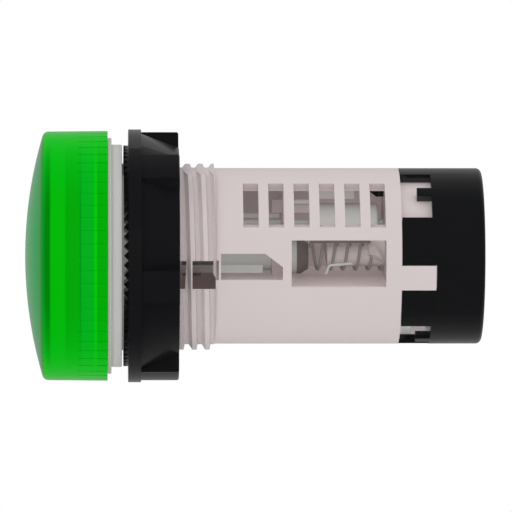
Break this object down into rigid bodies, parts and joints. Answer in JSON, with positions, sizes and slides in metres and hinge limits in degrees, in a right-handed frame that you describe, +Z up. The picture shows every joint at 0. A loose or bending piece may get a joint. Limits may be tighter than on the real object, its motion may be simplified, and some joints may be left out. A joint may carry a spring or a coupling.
{
  "type": "panel pilot light",
  "caption": "Round panel pilot light: domed green lens with ribbed grip, threaded barrel with toothed washer and ring nut, slotted housing, black cap over clamp terminals.",
  "frame": {"origin": "on the light's axis, at the rear face of the gasket, which seats on the panel's front", "axes": "+X along the axis from the lens to the terminals, +Z up, the side with the windows faces -Y"},
  "size_m": [0.0529, 0.0294, 0.0294],
  "materials": {
    "ivory_plastic": "satin moulded ivory with a pink cast",
    "black_plastic": "satin moulded black",
    "green_lens": "clear green moulding",
    "grey_rubber": "light grey, matte",
    "grey_body": "light grey cement coating",
    "tinned_wire": "bright tinned",
    "plated_metal": "nickel plated",
    "grey_metal": "dull plated",
    "spring_steel": "bright drawn wire",
    "lamp_glass": "clear glass"
  },
  "bodies": {
    "base": {"housing": "ivory_plastic", "sealing_gasket": "grey_rubber", "terminal_carrier": "ivory_plastic", "rear_cap": "black_plastic", "series_resistor": "grey_body", "resistor_lead_front": "tinned_wire", "resistor_lead_rear": "tinned_wire", "contact_strip": "plated_metal", "contact_rail": "grey_metal", "link_wire": "tinned_wire", "contact_spring": "spring_steel", "terminal_plate_1": "plated_metal", "terminal_plate_2": "plated_metal", "terminal_plate_3": "plated_metal"},
    "lens": {"lens_cap": "green_lens"},
    "washer": {"lock_washer": "black_plastic"},
    "nut": {"fixing_nut": "black_plastic"},
    "lamp": {"lamp_bulb": "lamp_glass", "lamp_base": "plated_metal", "contact_stem": "grey_metal"},
    "plunger": {"contact_plunger": "grey_metal"},
    "clamp_1": {"wire_clamp_1": "plated_metal"},
    "screw_1": {"terminal_screw_1": "plated_metal"},
    "clamp_2": {"wire_clamp_2": "plated_metal"},
    "screw_2": {"terminal_screw_2": "plated_metal"},
    "clamp_3": {"wire_clamp_3": "plated_metal"},
    "screw_3": {"terminal_screw_3": "plated_metal"}
  },
  "joints": [
    {"name": "lens_turn", "type": "hinge", "parent": "base", "child": "lens", "pos_m": [-0.006, 0, 0], "axis": [1, 0, 0], "range_deg": [0, 60]},
    {"name": "washer_slide", "type": "slide", "parent": "base", "child": "washer", "axis": [1, 0, 0], "range_m": [0, 0.00415]},
    {"name": "nut_turn", "type": "hinge", "parent": "washer", "child": "nut", "pos_m": [0.004, 0, 0], "axis": [1, 0, 0], "range_deg": [0, 1000]},
    {"name": "lamp_push", "type": "slide", "parent": "base", "child": "lamp", "axis": [1, 0, 0], "range_m": [0, 0.0014]},
    {"name": "plunger_slide", "type": "slide", "parent": "base", "child": "plunger", "axis": [1, 0, 0], "range_m": [0, 0.0014], "stiffness_N_per_m": 400, "springref_m": -0.0012, "deforming": ["contact_spring"]},
    {"name": "clamp_1_slide", "type": "slide", "parent": "base", "child": "clamp_1", "axis": [1, 0, 0], "range_m": [-0.00158, 0.00018]},
    {"name": "screw_1_turn", "type": "hinge", "parent": "clamp_1", "child": "screw_1", "pos_m": [0.036, -0.00429, 0.00434], "axis": [1, 0, 0], "range_deg": [-950, 110]},
    {"name": "clamp_2_slide", "type": "slide", "parent": "base", "child": "clamp_2", "axis": [1, 0, 0], "range_m": [-0.00158, 0.00018]},
    {"name": "screw_2_turn", "type": "hinge", "parent": "clamp_2", "child": "screw_2", "pos_m": [0.036, 0.0059, 0.00155], "axis": [1, 0, 0], "range_deg": [-950, 110]},
    {"name": "clamp_3_slide", "type": "slide", "parent": "base", "child": "clamp_3", "axis": [1, 0, 0], "range_m": [-0.00158, 0.00018]},
    {"name": "screw_3_turn", "type": "hinge", "parent": "clamp_3", "child": "screw_3", "pos_m": [0.036, -0.00161, -0.00588], "axis": [1, 0, 0], "range_deg": [-950, 110]}
  ],
  "couplings": [
    {"joint": "nut_turn", "follows": "washer_slide", "rad_per_m": 4188.8},
    {"joint": "lamp_push", "follows": "plunger_slide", "ratio": 1},
    {"joint": "screw_1_turn", "follows": "clamp_1_slide", "rad_per_m": 10472},
    {"joint": "screw_2_turn", "follows": "clamp_2_slide", "rad_per_m": 10472},
    {"joint": "screw_3_turn", "follows": "clamp_3_slide", "rad_per_m": 10472}
  ]
}
